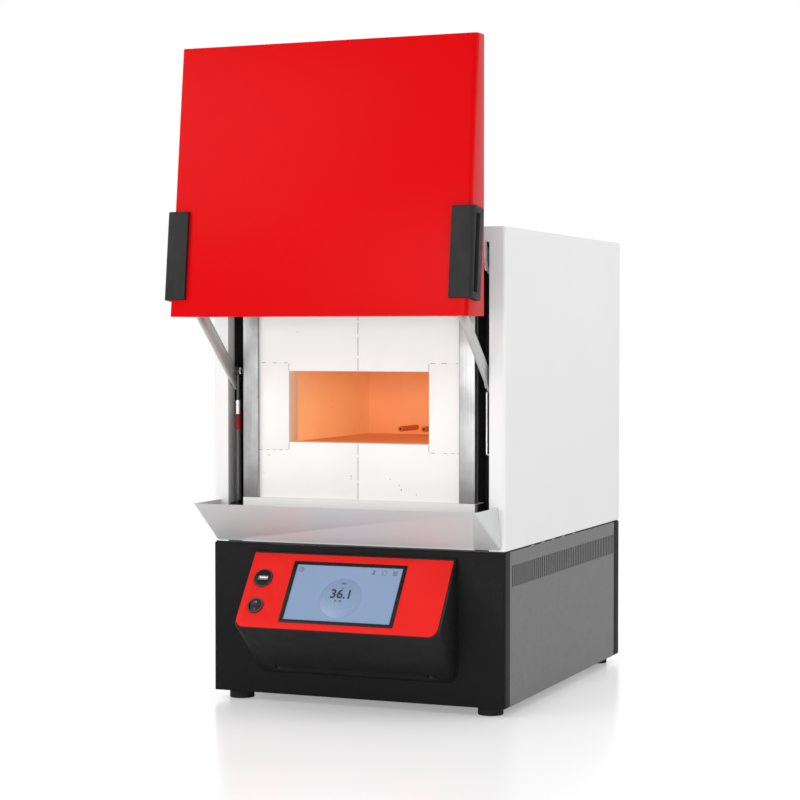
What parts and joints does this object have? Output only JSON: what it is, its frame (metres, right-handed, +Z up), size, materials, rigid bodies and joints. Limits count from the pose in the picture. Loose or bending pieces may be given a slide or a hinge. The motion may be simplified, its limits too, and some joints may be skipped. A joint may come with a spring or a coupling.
{
  "type": "laboratory chamber furnace",
  "caption": "Bench-top chamber furnace with a wedge-shaped door that lifts on parallel arms, a fibre-lined chamber, a spill lip and a sloping control panel with a touch screen.",
  "frame": {"origin": "On the bench under the middle of the part's box, with the door raised.", "axes": "+Z up and the longest side, +X to the right of a person who faces the door, -Y towards that person."},
  "size_m": [0.393, 0.6368, 0.8015],
  "materials": {
    "black_paint": "matte",
    "white_paint": "satin",
    "grey_paint": "satin",
    "red_paint": "gloss",
    "red_film": "satin",
    "black_moulding": "matte",
    "handle_moulding": "matte",
    "black_plastic": "gloss",
    "screen_glass": "gloss",
    "circuit_board": "matte",
    "stainless": "satin",
    "bright_zinc": "satin",
    "fibre_board": "matte",
    "chamber_fibre": "matte",
    "backing_fibre": "matte",
    "resistance_wire": "matte",
    "ceramic_sheath": "matte",
    "rubber": "matte",
    "strut_black": "satin",
    "strut_red": "satin",
    "board_plate": "matte"
  },
  "bodies": {
    "furnace": {"rubber_feet": "rubber", "base_floor": "black_paint", "base_front_panel": "black_paint", "base_side_left": "black_paint", "base_side_right": "black_paint", "base_rear_panel": "black_paint", "deck_plate": "board_plate", "cable_gland": "black_moulding", "case_wrapper": "white_paint", "case_rear_panel": "white_paint", "lower_header": "white_paint", "spill_lip": "grey_paint", "front_guards": "stainless", "front_board_upper_left": "fibre_board", "front_board_upper_right": "fibre_board", "front_board_lower_left": "fibre_board", "front_board_lower_right": "fibre_board", "front_blocks": "fibre_board", "chamber_floor": "chamber_fibre", "chamber_roof": "chamber_fibre", "chamber_walls": "chamber_fibre", "chamber_back": "chamber_fibre", "heating_elements": "resistance_wire", "insulation_lower": "backing_fibre", "insulation_upper": "backing_fibre", "insulation_sides": "backing_fibre", "insulation_rear": "backing_fibre", "slot_liners": "board_plate", "thermocouples": "ceramic_sheath", "pivot_plates": "board_plate", "arm_pivot_studs": "bright_zinc", "strut_bracket": "board_plate", "heel_feeler": "bright_zinc", "control_housing": "black_moulding", "housing_screws": "strut_black", "control_fascia": "red_film", "display_bezel": "black_plastic", "display_screen": "screen_glass", "controller_board": "circuit_board", "data_socket": "black_plastic", "switch_body": "black_plastic"},
    "lower_link": {"lower_arms": "bright_zinc", "strut_stud": "bright_zinc"},
    "upper_link": {"upper_arms": "bright_zinc"},
    "door": {"door_shell": "red_paint", "door_back_pan": "stainless", "door_insulation": "backing_fibre", "door_plug": "fibre_board", "door_brackets": "bright_zinc", "door_pivot_studs": "bright_zinc", "handle_left": "handle_moulding", "handle_right": "handle_moulding"},
    "rod_pair": {"strut_rod": "strut_black"},
    "tube_pair": {"strut_tube": "strut_black", "strut_collar": "strut_red", "strut_neck": "bright_zinc", "strut_pin": "bright_zinc"},
    "rocker": {"power_rocker": "black_plastic"}
  },
  "joints": [
    {"name": "door_lift", "type": "hinge", "parent": "furnace", "child": "lower_link", "pos_m": [0, -0.17782, 0.3983], "axis": [1, 0, 0], "range_deg": [0, 114.15]},
    {"name": "door_hang", "type": "hinge", "parent": "lower_link", "child": "door", "pos_m": [0, -0.28062, 0.488], "axis": [1, 0, 0], "range_deg": [-114.15, 0]},
    {"name": "upper_swing", "type": "hinge", "parent": "furnace", "child": "upper_link", "pos_m": [0, -0.17782, 0.5389], "axis": [1, 0, 0], "range_deg": [0, 114.15]},
    {"name": "rod_turn", "type": "hinge", "parent": "lower_link", "child": "rod_pair", "pos_m": [0, -0.18652, 0.41173], "axis": [1, 0, 0], "range_deg": [-114.15, 0]},
    {"name": "tube_slide", "type": "slide", "parent": "rod_pair", "child": "tube_pair", "axis": [0, 0, 1], "range_m": [0, 0.0269]},
    {"name": "power_switch", "type": "hinge", "parent": "furnace", "child": "rocker", "pos_m": [-0.1106, -0.24401, 0.12643], "axis": [-1, 0, 0], "range_deg": [0, 20]}
  ],
  "couplings": [
    {"joint": "door_hang", "follows": "door_lift", "ratio": -1},
    {"joint": "upper_swing", "follows": "door_lift", "ratio": 1},
    {"joint": "rod_turn", "follows": "door_lift", "ratio": -1},
    {"joint": "tube_slide", "follows": "door_lift", "m_per_rad": 0.013482}
  ]
}
